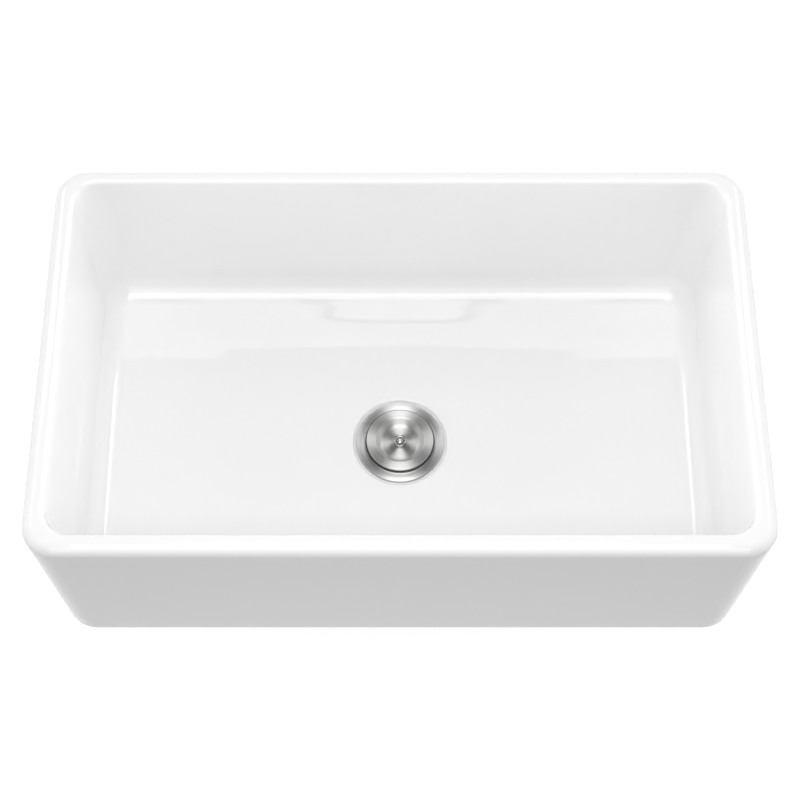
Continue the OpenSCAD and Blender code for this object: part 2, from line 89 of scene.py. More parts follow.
class Board:
    # A node tree with one way of adding a node: its type, its settings, its sockets
    def __init__(self, tree):
        self.tree = tree

    def add(self, kind, settings=None, sockets=None):
        node = self.tree.nodes.new(kind)
        for name, value in (settings or {}).items():
            setattr(node, name, value)
        self.plug(node, sockets or {})
        return Made(self, node)

    def plug(self, node, sockets):
        for name, value in sockets.items():
            if isinstance(value, Wire):
                self.tree.links.new(value.socket, node.inputs[name])
            else:
                node.inputs[name].default_value = value

    def link(self, wire, made, name):
        self.tree.links.new(wire.socket, made.node.inputs[name])

    def split(self, vector):
        parts = self.add("ShaderNodeSeparateXYZ", None, {0: vector})
        return parts["X"], parts["Y"], parts["Z"]

    def mixColour(self, factor, first, second):
        # The colour sockets of a Mix node share their names, so they go by number
        first, second = [c if isinstance(c, Wire) else (*c, 1.0) for c in (first, second)]
        sockets = {"Factor": factor, 6: first, 7: second}
        return self.add("ShaderNodeMix", {"data_type": "RGBA"}, sockets)[2]

    def vector(self, **parts):
        return self.add("ShaderNodeCombineXYZ", None, parts)["Vector"]


def newMaterial(name):
    # An empty material with its board, its Principled shader and its Object coordinates
    material = bpy.data.materials.new(name)
    material.use_nodes = True
    material.node_tree.nodes.clear()
    board = Board(material.node_tree)
    shader = board.add("ShaderNodeBsdfPrincipled")
    board.add("ShaderNodeOutputMaterial", None, {"Surface": shader["BSDF"]})
    place = board.add("ShaderNodeTexCoord")["Object"]
    return material, board, shader.node, place


def bump(board, height, distance):
    sockets = {"Height": height, "Distance": distance, "Strength": 1.0}
    return board.add("ShaderNodeBump", None, sockets)["Normal"]


def noise(board, place, scale, detail=2.0, rough=0.5):
    return board.add(
        "ShaderNodeTexNoise", {"noise_dimensions": "3D"},
        {"Vector": place, "Scale": scale, "Detail": detail, "Roughness": rough},
    )["Fac"]


def radius(board, place):
    across, along, height = board.split(place)
    return (across * across + along * along) ** 0.5, height


def shaded(colour, share):
    return tuple(c * share for c in colour)


def coat(board, shader, tone, rough, height, depth, metallic=0.0):
    # Plugs a finish into the shader, with relief up to depth metres
    board.plug(shader, {
        "Base Color": tone, "Roughness": rough, "Metallic": metallic,
        "Normal": bump(board, height, depth),
    })


# Where most stains and grains fade in
fade = (0.35, 0.7)
glaze = {
    "colour": (0.945, 0.945, 0.945), "thin": (0.86, 0.86, 0.858), "thinShare": 0.12,
    "cloudScale": 3.0, "cloudFade": (0.4, 0.7), "speck": (0.55, 0.52, 0.47),
    "speckScale": 45.0, "speckRarity": 0.975, "speckSize": (0.018, 0.03), "speckShare": 0.35,
    "bisque": (0.70, 0.66, 0.58), "grit": (0.60, 0.55, 0.47), "gritScale": 900.0,
    "gritShare": 0.5, "gritDepth": 1.5, "wiped": (0.2, 1.4), "wipedRecess": (7, 8),
    "facingDown": (-0.6, -0.2), "rough": 0.045, "roughBisque": 0.75, "ripple": 0.00006,
    "rippleScale": 42.0, "ior": 1.54,
}


def makeGlaze():
    g = glaze
    material, board, shader, place = newMaterial("fireclayGlaze")
    height = board.split(place)[2]
    cloud = noise(board, place, g["cloudScale"], 3.0).ramp(*g["cloudFade"], 0.0, g["thinShare"])
    cells = board.add(
        "ShaderNodeTexVoronoi", {"feature": "F1"}, {"Vector": place, "Scale": g["speckScale"]}
    )
    chance = board.split(cells["Color"])[0] > g["speckRarity"]
    speck = chance * cells["Distance"].ramp(*g["speckSize"], g["speckShare"], 0.0)
    tone = board.mixColour(cloud, g["colour"], g["thin"])
    tone = board.mixColour(speck, tone, g["speck"])
    # The underside and its recess are wiped clean of glaze before firing
    wiped, recess = [
        height.ramp((baseHeight + low) * mm, (baseHeight + high) * mm, 1.0, 0.0)
        for low, high in (g["wiped"], g["wipedRecess"])
    ]
    facing = board.split(board.add("ShaderNodeNewGeometry")["Normal"])[2]
    bare = wiped.combine("MAXIMUM", facing.ramp(*g["facingDown"], 1.0, 0.0) * recess)
    grit = noise(board, place, g["gritScale"], 3.0, 0.7)
    clay = board.mixColour(grit.ramp(*fade, 0.0, g["gritShare"]), g["bisque"], g["grit"])
    ripple = noise(board, place, g["rippleScale"], 1.0, 0.4)
    rough = bare.ramp(0.2, 0.8, g["rough"], g["roughBisque"])
    relief = ripple + bare * grit * g["gritDepth"]
    coat(board, shader, board.mixColour(bare, tone, clay), rough, relief, g["ripple"])
    board.plug(shader, {"IOR": g["ior"]})
    return material


# Tool marks run round the drain's axis; turn sets the stretched highlights across them
turned = {
    "bandScale": 0.12, "bandTone": 0.84, "markRough": 0.10, "smudgeScale": 60.0,
    "smudgeRough": 0.06, "steep": (0.72, 0.95), "sideSmooth": 0.1, "turn": 0.25,
}


def makeTurned(name, colour, rough, aniso, grooves=2600.0, depth=0.000012, side=0.74):
    t = turned
    material, board, shader, place = newMaterial(name)
    out, height = radius(board, place)
    track = board.vector(X=out, Y=height)
    marks = noise(board, track, grooves, 3.0, 0.65)
    bands = noise(board, track, grooves * t["bandScale"])
    smudge = noise(board, place, t["smudgeScale"])
    tone = board.mixColour(bands.ramp(0.3, 0.7), shaded(colour, t["bandTone"]), colour)
    markRough = (marks - 0.5) * t["markRough"] + (smudge - 0.5) * t["smudgeRough"]
    # Steep faces, such as the dish's side, carry painted shade: their colour is darkened by the
    # side share. They are also made smoother
    facing = board.split(board.add("ShaderNodeNewGeometry")["Normal"])[2]
    steep = facing.ramp(*t["steep"], 1.0, 0.0)
    tone = board.mixColour(steep, tone, shaded(colour, side))
    coat(board, shader, tone, rough + markRough - steep * t["sideSmooth"], marks, depth, 1.0)
    board.plug(shader, {"Anisotropic": aniso, "Anisotropic Rotation": t["turn"]})
    return material


# Drawn sheet steel with a fine even grain
satin = {
    "stretch": 12.0, "grainScale": 700.0, "grainRough": 0.12, "depth": 0.000008,
    "smudgeScale": 35.0, "smudgeRough": 0.08, "smudgeTone": 0.88,
}


def makeSatin(name, colour, rough):
    s = satin
    material, board, shader, place = newMaterial(name)
    across, along, height = board.split(place)
    drawn = board.vector(X=across, Y=along, Z=height * s["stretch"])
    grain = noise(board, drawn, s["grainScale"], 2.0, 0.6)
    smudge = noise(board, place, s["smudgeScale"], 3.0)
    tone = board.mixColour(smudge.ramp(*fade), shaded(colour, s["smudgeTone"]), colour)
    rough = rough + (grain - 0.5) * s["grainRough"] + (smudge - 0.5) * s["smudgeRough"]
    coat(board, shader, tone, rough, grain, s["depth"], 1.0)
    return material


chrome = {
    "dark": (0.50, 0.51, 0.53), "light": (0.60, 0.61, 0.63), "rough": (0.05, 0.12),
    "hazeScale": 25.0, "waveScale": 90.0, "depth": 0.00001,
}


def makeChrome():
    material, board, shader, place = newMaterial("chromedTube")
    haze = noise(board, place, chrome["hazeScale"], 3.0)
    wave = noise(board, place, chrome["waveScale"], 1.0)
    tone = board.mixColour(haze.ramp(0.3, 0.7), chrome["dark"], chrome["light"])
    rough = haze.ramp(0.35, 0.75, *chrome["rough"])
    coat(board, shader, tone, rough, wave, chrome["depth"], 1.0)
    return material


# Cast and machined nut, a little dulled
brass = {
    "bright": (0.72, 0.58, 0.33), "dull": (0.50, 0.38, 0.20), "rough": (0.28, 0.5),
    "dullScale": 45.0, "pitScale": 1100.0, "depth": 0.00003,
}


def makeBrass():
    material, board, shader, place = newMaterial("castNut")
    dull = noise(board, place, brass["dullScale"], 4.0)
    pits = noise(board, place, brass["pitScale"])
    tone = board.mixColour(dull.ramp(*fade), brass["bright"], brass["dull"])
    coat(board, shader, tone, dull.ramp(0.3, 0.7, *brass["rough"]), pits, brass["depth"], 1.0)
    return material


rubber = {
    "black": ((0.012, 0.012, 0.012), 0.42), "grey": ((0.22, 0.22, 0.22), 0.6),
    "bloomScale": 40.0, "bloomTone": 1.5, "bloomLift": 0.012, "bloomFade": (0.45, 0.8),
    "skinScale": 1500.0, "skinRough": 0.15, "depth": 0.00002,
}


def makeRubber(name, colour, rough):
    r = rubber
    material, board, shader, place = newMaterial(name)
    bloom = noise(board, place, r["bloomScale"], 3.0)
    skin = noise(board, place, r["skinScale"])
    light = tuple(c * r["bloomTone"] + r["bloomLift"] for c in colour)
    tone = board.mixColour(bloom.ramp(*r["bloomFade"]), colour, light)
    coat(board, shader, tone, rough + (skin - 0.5) * r["skinRough"], skin, r["depth"])
    return material


# Pressed board, with long fibres
card = {
    "dark": (0.50, 0.38, 0.24), "light": (0.66, 0.54, 0.38), "rough": 0.85, "along": 3.0,
    "across": 14.0, "threadScale": 160.0, "threadRough": 0.1, "depth": 0.00006,
}


def makeCard():
    material, board, shader, place = newMaterial("fibreWasher")
    across, along, height = board.split(place)
    fibre = board.vector(
        X=across * card["along"], Y=along * card["across"], Z=height * card["across"]
    )
    threads = noise(board, fibre, card["threadScale"], 4.0, 0.7)
    tone = board.mixColour(threads.ramp(*fade), card["dark"], card["light"])
    rough = card["rough"] + (threads - 0.5) * card["threadRough"]
    coat(board, shader, tone, rough, threads, card["depth"])
    return material


nylon = {
    "dark": (0.80, 0.80, 0.77), "light": (0.88, 0.88, 0.85), "rough": 0.4,
    "cloudScale": 60.0, "cloudRough": 0.1, "pitScale": 900.0, "depth": 0.00001,
}


def makeNylon():
    material, board, shader, place = newMaterial("whiteNylon")
    cloud = noise(board, place, nylon["cloudScale"])
    pits = noise(board, place, nylon["pitScale"])
    rough = nylon["rough"] + (cloud - 0.5) * nylon["cloudRough"]
    tone = board.mixColour(cloud, nylon["dark"], nylon["light"])
    coat(board, shader, tone, rough, pits, nylon["depth"])
    return material


# Steel: colour, roughness and, where turned, how far the highlights stretch
steel = {
    "flange": ((0.92, 0.915, 0.905), 0.45, 0.92),
    "lid": ((0.88, 0.875, 0.865), 0.44, 0.94),
    "knob": ((0.93, 0.925, 0.915), 0.26, 0.0),
    "sheet": ((0.60, 0.60, 0.59), 0.28),
    "bright": ((0.85, 0.845, 0.835), 0.24),
}
materials = {
    "glaze": makeGlaze(),
    "flange": makeTurned("turnedFlange", *steel["flange"]),
    "lid": makeTurned("turnedLid", *steel["lid"]),
    # The knob's steep faces carry deep painted shade, at a side share of 0.32
    "knob": makeTurned("turnedKnob", *steel["knob"], grooves=4000.0, depth=0.000004, side=0.32),
    "sheet": makeSatin("drawnSteel", *steel["sheet"]),
    "bright": makeSatin("brightSteel", *steel["bright"]),
    "chrome": makeChrome(),
    "nut": makeBrass(),
    "rubber": makeRubber("blackRubber", *rubber["black"]),
    "gasket": makeRubber("greyRubber", *rubber["grey"]),
    "card": makeCard(),
    "nylon": makeNylon(),
}
print("materials:", len(materials))


def arc(across, height, size, start, end, steps=8):
    # Points round an arc in the [radius, height] plane
    return [
        (across + size * math.cos(math.radians(start + (end - start) * i / steps)),
         height + size * math.sin(math.radians(start + (end - start) * i / steps)))
        for i in range(steps + 1)
    ]


def easeBetween(first, second, steps):
    # Points from first to second with a soft start and end
    return [
        (first[0] + (second[0] - first[0]) * i / steps,
         first[1] + (second[1] - first[1]) * (1 - math.cos(math.pi * i / steps)) / 2)
        for i in range(1, steps)
    ]


def offsetPath(path, thickness):
    # The other face of a sheet whose first face is path, to its left
    moved = []
    for i, (x, z) in enumerate(path):
        before = path[max(i, 1) - 1], path[max(i, 1)]
        after = path[min(i, len(path) - 2)], path[min(i, len(path) - 2) + 1]
        normals = []
        for (ax, az), (bx, bz) in (before, after):
            length = math.hypot(bx - ax, bz - az)
            normals.append((-(bz - az) / length, (bx - ax) / length))
        nx, nz = normals[0][0] + normals[1][0], normals[0][1] + normals[1][1]
        size = math.hypot(nx, nz)
        nx, nz = nx / size, nz / size
        reach = thickness / max(0.3, nx * normals[0][0] + nz * normals[0][1])
        moved.append((x + nx * reach, z + nz * reach))
    return moved


def sheetProfile(path, thickness):
    return path + offsetPath(path, thickness)[::-1]


def finishPiece(piece, body, nodes, angle=40.0):
    # Turns the faces outwards, smooths what is curved and hands the piece to the frame
    mesh = piece.data
    work = bmesh.new()
    work.from_mesh(mesh)
    bmesh.ops.recalc_face_normals(work, faces=work.faces)
    if work.calc_volume(signed=True) < 0:
        bmesh.ops.reverse_faces(work, faces=work.faces)
    work.to_mesh(mesh)
    work.free()
    mesh.shade_smooth()
    mesh.set_sharp_from_angle(angle=math.radians(angle))
    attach(piece, body)
    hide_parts(*nodes)


def meshPiece(name, points, faces, material):
    mesh = bpy.data.meshes.new(name)
    mesh.from_pydata(points, [], faces)
    mesh.update()
    mesh.materials.append(material)
    piece = bpy.data.objects.new(name, mesh)
    bpy.context.scene.collection.objects.link(piece)
    return piece


def newTree(name, inputs):
    # A geometry tree with named inputs and a Material input; closeTree ends it in Realize Instances
    # and Set Material
    tree = bpy.data.node_groups.new(name, "GeometryNodeTree")
    sockets = [("Geometry", "Geometry", "INPUT"), ("Geometry", "Geometry", "OUTPUT")]
    sockets += [(title, kind, "INPUT") for title, kind in inputs]
    for title, kind, way in sockets + [("Material", "Material", "INPUT")]:
        tree.interface.new_socket(name=title, in_out=way, socket_type="NodeSocket" + kind)
    board = Board(tree)
    return board, board.add("NodeGroupInput")


def lifted(board, geometry, height):
    return board.add("GeometryNodeTransform", None, {
        "Geometry": geometry, "Translation": board.vector(Z=height),
    })["Geometry"]


def copies(board, points, mesh, turn):
    # The mesh on every point, turned by the angles in turn
    rotation = board.add("FunctionNodeEulerToRotation", None, {"Euler": turn})["Rotation"]
    placed = board.add("GeometryNodeInstanceOnPoints", None, {
        "Points": points, "Instance": mesh, "Rotation": rotation,
    })["Instances"]
    return board.add("GeometryNodeRealizeInstances", None, {"Geometry": placed})["Geometry"]


def closeTree(board, given, geometry):
    real = board.add("GeometryNodeRealizeInstances", None, {"Geometry": geometry})
    painted = board.add(
        "GeometryNodeSetMaterial", None,
        {"Geometry": real["Geometry"], "Material": given["Material"]},
    )
    board.add("NodeGroupOutput", None, {"Geometry": painted["Geometry"]})
    return board.tree


def grow(name, tree, source, values, material):
    # Runs a tree on the source mesh and keeps the result as a plain mesh
    holder = bpy.data.objects.new(name + "Source", source)
    bpy.context.scene.collection.objects.link(holder)
    modifier = holder.modifiers.new("grow", "NODES")
    modifier.node_group = tree
    for item in tree.interface.items_tree:
        if item.in_out == "INPUT" and item.name in values:
            modifier[item.identifier] = values[item.name]
        if item.in_out == "INPUT" and item.name == "Material":
            modifier[item.identifier] = material
    evaluated = holder.evaluated_get(bpy.context.evaluated_depsgraph_get())
    mesh = bpy.data.meshes.new_from_object(evaluated)
    mesh.name = name
    holder.modifiers.remove(modifier)
    bpy.data.objects.remove(holder)
    piece = bpy.data.objects.new(name, mesh)
    bpy.context.scene.collection.objects.link(piece)
    return piece


def profileMesh(name, profile, threaded=()):
    # A closed [radius, height] outline, with y at 1 where a thread winds over a point
    points = list(profile) + [profile[0]]
    flags = [1.0 if i in threaded else 0.0 for i in range(len(profile))]
    flags.append(flags[0])
    mesh = bpy.data.meshes.new(name + "Outline")
    mesh.from_pydata(
        [(r * mm, flag, (z + baseHeight) * mm) for (r, z), flag in zip(points, flags)],
        [(i, i + 1) for i in range(len(points) - 1)], [],
    )
    return mesh


def latheSteps(board, given, pitch=1.0, depth=0.0):
    # Sweeps an outline round the axis: one column of the grid for each step
    steps, rows = given["Steps"], given["Rows"]
    grid = board.add(
        "GeometryNodeMeshGrid", None,
        {"Size X": 1.0, "Size Y": 1.0, "Vertices X": steps + 1, "Vertices Y": rows},
    )
    index = board.add("GeometryNodeInputIndex")["Index"]
    row = index % rows
    turn = (index - row) / rows * (2 * math.pi) / steps
    point = board.add(
        "GeometryNodeSampleIndex", {"data_type": "FLOAT_VECTOR", "domain": "POINT"},
        {"Geometry": given["Geometry"], "Index": row,
         "Value": board.add("GeometryNodeInputPosition")["Position"]},
    )
    out, flag, height = board.split(point[0])
    wave = (height / pitch - turn / (2 * math.pi)).combine("PINGPONG", 0.5) * 2.0
    out = out - flag * depth * wave
    where = board.vector(X=out * turn.combine("COSINE"), Y=out * turn.combine("SINE"), Z=height)
    moved = board.add(
        "GeometryNodeSetPosition", None, {"Geometry": grid["Mesh"], "Position": where}
    )
    return board.add(
        "GeometryNodeMergeByDistance", None, {"Geometry": moved["Geometry"], "Distance": 1e-6}
    )["Geometry"]


def makeLatheTree():
    board, given = newTree(
        "turnedPiece", [("Steps", "Int"), ("Rows", "Int"), ("Pitch", "Float"), ("Depth", "Float")]
    )
    return closeTree(board, given, latheSteps(board, given, given["Pitch"], given["Depth"]))


latheTree = makeLatheTree()


def turnPiece(name, profile, material, body, nodes, steps=192, threaded=(), pitch=2.0,
              depth=0.7, angle=40.0):
    values = {"Steps": steps, "Rows": len(profile) + 1, "Pitch": pitch * mm, "Depth": depth * mm}
    outline = profileMesh(name, profile, threaded)
    piece = grow(name, latheTree, outline, values, material)
    finishPiece(piece, body, nodes, angle)


# The fireclay body
sink = {
    "width": 838, "depth": 508, "height": 254, "corner": 39, "wall": 24, "backWall": 20.5,
    "base": 25, "rimOuter": 13, "rimInner": 6.5, "endTaper": 14, "backTaper": 14,
    "apronTaper": 5, "baseEdge": 12, "endLean": 3.6, "backLean": 3.9, "frontLean": 3.0,
    "bowlCorner": 30, "bowlFoot": 36, "fillet": 30, "floorFall": 5, "forward": 6, "hole": 44.5,
    "rebate": 58.5, "rebateDepth": 3.5, "rebateRound": 3.5, "recess": 75, "recessDepth": 6,
    "drainRim": 6, "floorEdge": 3, "holeEdge": 1, "recessRound": 2, "recessEdge": 1.5,
    "underside": 20,
}
# The floor ramps up a little to the foot of the back wall, behind the drain
swell = {
    "half": 36, "fade": 130, "from": 160, "to": 195, "ease": 16, "slope": 0.215, "in": 4.0,
    "low": 60, "high": 150,
}
bowlSteps = {
    "corner": 16, "long": 96, "short": 40, "edge": 10, "wall": 12, "fillet": 20, "floor": 26,
}


def planRing(half, front, back, size, height):
    # A rounded rectangle with evenly split sides, anticlockwise from the front
    size = max(size, 0.6)
    corners = [
        (half - size, front + size, -90), (half - size, back - size, 0),
        (-half + size, back - size, 90), (-half + size, front + size, 180),
    ]
    sides = [
        ((half, front + size), (half, back - size), bowlSteps["short"]),
        ((half - size, back), (-half + size, back), bowlSteps["long"]),
        ((-half, back - size), (-half, front + size), bowlSteps["short"]),
        ((-half + size, front), (half - size, front), bowlSteps["long"]),
    ]
    ring = []
    for (cx, cy, start), (first, last, steps) in zip(corners, sides):
        for i in range(bowlSteps["corner"]):
            a = math.radians(start + 90 * i / bowlSteps["corner"])
            ring.append((cx + size * math.cos(a), cy + size * math.sin(a), height))
        for i in range(steps):
            k = i / steps
            ring.append((
                first[0] + (last[0] - first[0]) * k, first[1] + (last[1] - first[1]) * k, height
            ))
    return ring


def outerRing(height, inset):
    k = max(0.0, 1 - height / (sink["height"] - sink["rimOuter"]))
    return planRing(
        sink["width"] / 2 - sink["endTaper"] * k - inset,
        -sink["depth"] / 2 + sink["apronTaper"] * k + inset,
        sink["depth"] / 2 - sink["backTaper"] * k - inset,
        sink["corner"] - inset, height,
    )


floorEdge = sink["base"] + sink["floorFall"]


def wallPlace(edge, lean, share, size):
    # Distance from the middle and height of a leaning wall. Share runs from the lip (0 to 1)
    # down the wall (1 to 2) and round the fillet (2 to 3)
    slope = math.radians(lean)
    lip, lipSize = sink["height"] - sink["rimInner"], sink["rimInner"]
    foot = floorEdge + size

    def straight(z):
        return edge - (sink["height"] - z) * math.tan(slope)

    if share <= 1:
        a = math.pi / 2 - share * (math.pi / 2 - slope)
        out = straight(lip) + lipSize / math.cos(slope) - lipSize * math.cos(a)
        return out, lip + lipSize * math.sin(a)
    if share <= 2:
        top, low = lip + lipSize * math.sin(slope), foot - size * math.sin(slope)
        height = top + (low - top) * (share - 1)
        return straight(height), height
    a = slope + (share - 2) * (math.pi / 2 - slope)
    centre = straight(foot) - size / math.cos(slope)
    return centre + size * math.cos(a), foot - size * math.sin(a)


def bowlRing(share):
    end = sink["width"] / 2 - sink["wall"]
    front, back = sink["depth"] / 2 - sink["wall"], sink["depth"] / 2 - sink["backWall"]
    half, height = wallPlace(end, sink["endLean"], share, sink["fillet"])
    k = (sink["height"] - height) / (sink["height"] - floorEdge)
    plan = sink["bowlCorner"] + (sink["bowlFoot"] - sink["bowlCorner"]) * k
    shift = half - (end - (sink["height"] - height) * math.tan(math.radians(sink["endLean"])))
    backPlace = wallPlace(back, sink["backLean"], share, sink["fillet"])[0]
    return planRing(
        half, -wallPlace(front, sink["frontLean"], share, sink["fillet"])[0], backPlace,
        max(plan + shift, 2), height,
    )


def smoothStep(low, high, value):
    k = min(1, max(0, (value - low) / (high - low)))
    return k * k * (3 - 2 * k)


def swollen(ring):
    # Lifts and pulls forward the points at the foot of the back wall
    moved = []
    for x, y, z in ring:
        k = 1 - smoothStep(swell["half"], swell["half"] + swell["fade"], abs(x))
        k *= 1 - smoothStep(swell["low"], swell["high"], z)
        run = min(max(y, swell["from"]), swell["to"]) - swell["from"]
        ease = min(run, swell["ease"])
        lift = swell["slope"] * (ease * ease / (2 * swell["ease"]) + run - ease)
        pull = swell["in"] * k * smoothStep(swell["from"], swell["to"], y)
        moved.append((x, y - pull, z + lift * k))
    return moved


def makeSinkBowl():
    rings = []
    quarter = [math.pi / 2 * i / bowlSteps["edge"] for i in range(bowlSteps["edge"] + 1)]
    for a in quarter:
        rings.append(outerRing(
            sink["baseEdge"] * (1 - math.cos(a)), sink["baseEdge"] * (1 - math.sin(a))
        ))
    low, high = sink["baseEdge"], sink["height"] - sink["rimOuter"]
    for i in range(1, bowlSteps["wall"]):
        rings.append(outerRing(low + (high - low) * i / bowlSteps["wall"], 0))
    for a in quarter:
        rings.append(outerRing(
            sink["height"] - sink["rimOuter"] * (1 - math.sin(a)),
            sink["rimOuter"] * (1 - math.cos(a)),
        ))
    for part, steps in enumerate((bowlSteps["edge"], bowlSteps["wall"], bowlSteps["fillet"])):
        for i in range(part > 0, steps + 1):
            rings.append(bowlRing(part + i / steps))
    inside = len(rings) - sum(bowlSteps[k] for k in ("wall", "fillet"))
    # The floor runs from its edge to a circle round the drain
    edge = rings[-1]
    flat = sink["rebate"] + sink["rebateRound"]
    angles = [math.atan2(y + sink["forward"], x) for x, y, z in edge]
    for i in range(1, bowlSteps["floor"] + 1):
        k = i / bowlSteps["floor"]
        ring = []
        for (x, y, z), a in zip(edge, angles):
            tx = (flat + sink["drainRim"]) * math.cos(a)
            ty = (flat + sink["drainRim"]) * math.sin(a) - sink["forward"]
            ring.append((x + (tx - x) * k, y + (ty - y) * k, z - sink["floorFall"] * k))
        rings.append(ring)
    rings[inside:] = [swollen(ring) for ring in rings[inside:]]
    seat = sink["base"] - sink["rebateDepth"]
    hole, recess, deep = sink["hole"], sink["recess"], sink["recessDepth"]
    lead, bend, lip = sink["holeEdge"], sink["recessRound"], sink["recessEdge"]
    inner = [(flat + sink["floorEdge"], sink["base"])]
    inner += arc(flat, sink["base"] - sink["rebateRound"], sink["rebateRound"], 90, 180, 8)
    inner += [(sink["rebate"], seat), (hole + lead, seat), (hole, seat - lead), (hole, deep)]
    inner += [(recess - bend, deep), (recess, deep - bend), (recess, lip), (recess + lip, 0)]
    inner += [(recess + sink["underside"], 0)]
    for size, height in inner:
        rings.append([
            (size * math.cos(a), size * math.sin(a) - sink["forward"], height) for a in angles
        ])
    count = len(edge)
    points = [
        (x * mm, (y + sink["forward"]) * mm, (z + baseHeight) * mm)
        for ring in rings for x, y, z in ring
    ]
    faces = []
    for s in range(len(rings)):
        for i in range(count):
            a, b = s * count + i, s * count + (i + 1) % count
            c, d = [(v + count) % len(points) for v in (b, a)]
            faces.append((a, b, c, d))
    piece = meshPiece("sinkBowl", points, faces, materials["glaze"])
    finishPiece(piece, "sink", ["sink_bowl"], 50.0)


makeSinkBowl()
print("fireclay body done")


strainer = {
    "flange": 55.5, "under": 23.0, "edge": 1.3, "crown": 26.0, "land": 25.2, "landIn": 42.7,
    "landOut": 45.1, "curl": 1.4, "mouth": 41.3, "ledge": 18.7, "cup": 38.9, "sheet": 1.2,
    "cupFloor": -23.3, "funnel": -35.3, "bore": 19.5, "outlet": 23.9, "outletEnd": -51.3,
    "ledgeRound": 0.4, "cupRound": 1.5, "cupRise": 0.6, "funnelRise": 1.0, "joinDrop": 1.15,
    "lead": 0.8, "turns": 44, "pitch": 2.1, "threadDepth": 0.75,
}


def makeStrainer():
    s = strainer
    crownAt = (s["landOut"] + s["flange"]) / 2
    top = [(s["flange"], s["under"]), (s["flange"], s["under"] + s["edge"])]
    for i in range(1, 13):
        a = math.pi / 2 * i / 12
        top.append((
            s["flange"] + (crownAt - s["flange"]) * (1 - math.cos(a)),
            s["under"] + s["edge"] + (s["crown"] - s["under"] - s["edge"]) * math.sin(a),
        ))
    top += easeBetween((crownAt, s["crown"]), (s["landOut"], s["land"]), 10)
    top += [(s["landOut"], s["land"]), (s["landIn"], s["land"])]
    top += arc(s["landIn"], s["land"] - s["curl"], s["curl"], 100, 180, 8)
    bend, cupBend = s["ledgeRound"], s["cupRound"]
    top += arc(s["mouth"] - bend, s["ledge"] + bend, bend, 0, -90, 3)
    top += arc(s["cup"] + bend, s["ledge"] - bend, bend, 90, 180, 3)
    top += arc(s["cup"] - cupBend, s["cupFloor"] + s["cupRise"], cupBend, 0, -58, 4)
    top += arc(s["bore"] + cupBend, s["funnel"] + s["funnelRise"], cupBend, 122, 180, 4)
    under = offsetPath(top, s["sheet"])[::-1]
    # The outlet leaves the sheet where it meets the funnel
    keep = [p for p in under if p[0] > s["outlet"] + 0.5]
    slope = (s["cupFloor"] - s["funnel"]) / (s["cup"] - s["bore"])
    join = s["funnel"] - s["sheet"] * s["joinDrop"] + slope * (s["outlet"] - s["bore"])
    low, high = s["outletEnd"] + s["lead"], join - 2 * s["lead"]
    thread = [
        (s["outlet"], low + (high - low) * i / s["turns"]) for i in range(s["turns"] + 1)
    ]
    profile = top + [(s["bore"], s["outletEnd"]), (s["outlet"] - s["lead"], s["outletEnd"])]
    first = len(profile)
    profile += thread + [(s["outlet"], join)]
    last = first + len(thread)
    profile += keep
    turnPiece(
        "strainerBody", profile, materials["flange"], "sink", ["strainer_body"],
        steps=224, threaded=range(first, last), pitch=s["pitch"], depth=s["threadDepth"], angle=46,
    )


makeStrainer()


tail = {
    "radius": 19.05, "wall": 1.0, "top": -53.3, "end": -155.3, "flange": 22.2, "flangeT": 1.5,
    "flangeRound": 0.7, "mouthRound": 0.8, "endRound": 0.5,
}


def makeTailpiece():
    t = tail
    inside = t["radius"] - t["wall"]
    mouth, end, half = t["mouthRound"], t["endRound"], t["flangeT"] / 2
    profile = [(inside, t["end"] + end)]
    profile += arc(t["radius"] - end, t["end"] + end, end, 180, 360, 8)
    profile += [(t["radius"], t["top"] - t["flangeT"] - 0.6)]
    profile += arc(t["flange"] - t["flangeRound"], t["top"] - half, half, -90, 90, 8)
    profile += arc(inside + mouth, t["top"] - mouth, mouth, 90, 180, 5)
    turnPiece(
        "tailpiece", profile, materials["chrome"], "sink", ["tailpiece"], steps=128
    )


lockNut = {
    "radius": 47, "bore": 40.15, "low": -9.5, "high": 1.5, "lugs": 6, "lugLength": 5.5,
    "lugWidth": 9, "collar": 3, "collarOut": 2.75, "collarEdge": 0.6, "bevel": 1.0,
    "lead": 0.8, "lugRoot": 1, "lugBevel": 0.5, "lugAngle": 50,
}


def makeLugTree():
    # A turned ring with lugs spaced evenly round it, joined by a union
    board, given = newTree("luggedRing", [
        ("Steps", "Int"), ("Rows", "Int"), ("Lugs", "Int"), ("Lug Radius", "Float"),
        ("Lug Size", "Vector"), ("Lug Height", "Float"),
    ])
    circle = board.add(
        "GeometryNodeMeshCircle", {"fill_type": "NONE"},
        {"Vertices": given["Lugs"], "Radius": given["Lug Radius"]},
    )
    places = lifted(board, circle["Mesh"], given["Lug Height"])
    spin = board.add("GeometryNodeInputIndex")["Index"] / given["Lugs"] * (2 * math.pi)
    lug = board.add("GeometryNodeMeshCube", None, {"Size": given["Lug Size"]})["Mesh"]
    lugs = copies(board, places, lug, board.vector(Z=spin))
    joined = board.add("GeometryNodeMeshBoolean", {"operation": "UNION", "solver": "MANIFOLD"})
    for mesh in (latheSteps(board, given), lugs):
        board.link(mesh, joined, "Mesh 2")
    return closeTree(board, given, joined["Mesh"])


